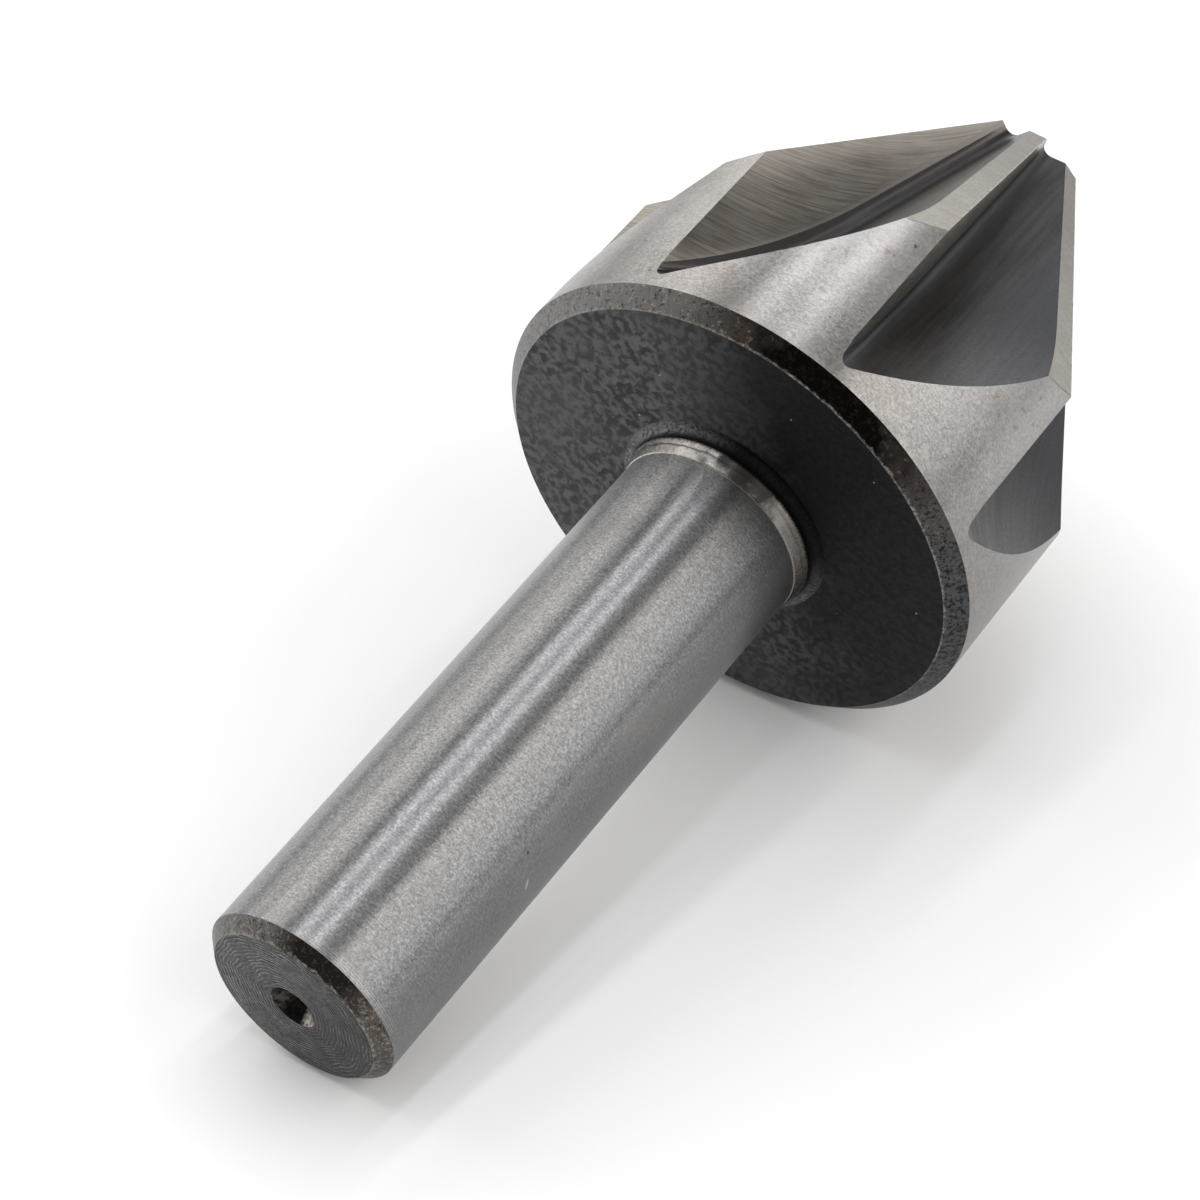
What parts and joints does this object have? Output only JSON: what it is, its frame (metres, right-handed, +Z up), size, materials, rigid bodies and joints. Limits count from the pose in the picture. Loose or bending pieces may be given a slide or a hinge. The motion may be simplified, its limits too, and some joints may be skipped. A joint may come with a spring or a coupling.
{
  "type": "chamfer mill",
  "caption": "One-piece conical chamfer mill with a cylindrical head back, straight ground teeth on a sixty-degree cone and a plain round shank.",
  "frame": {"origin": "centre of the shank's end face", "axes": "+Z up the tool's axis from the shank's end to the nose; +X through one cutting edge, whose rake face looks to +Y"},
  "size_m": [0.032, 0.032, 0.0752],
  "materials": {
    "tool_steel": "ground satin steel on the shank, teeth and head cylinder, dark oxide on the head's back face and in the flutes"
  },
  "bodies": {
    "root": {"chamfer_mill": "tool_steel"}
  },
  "joints": []
}
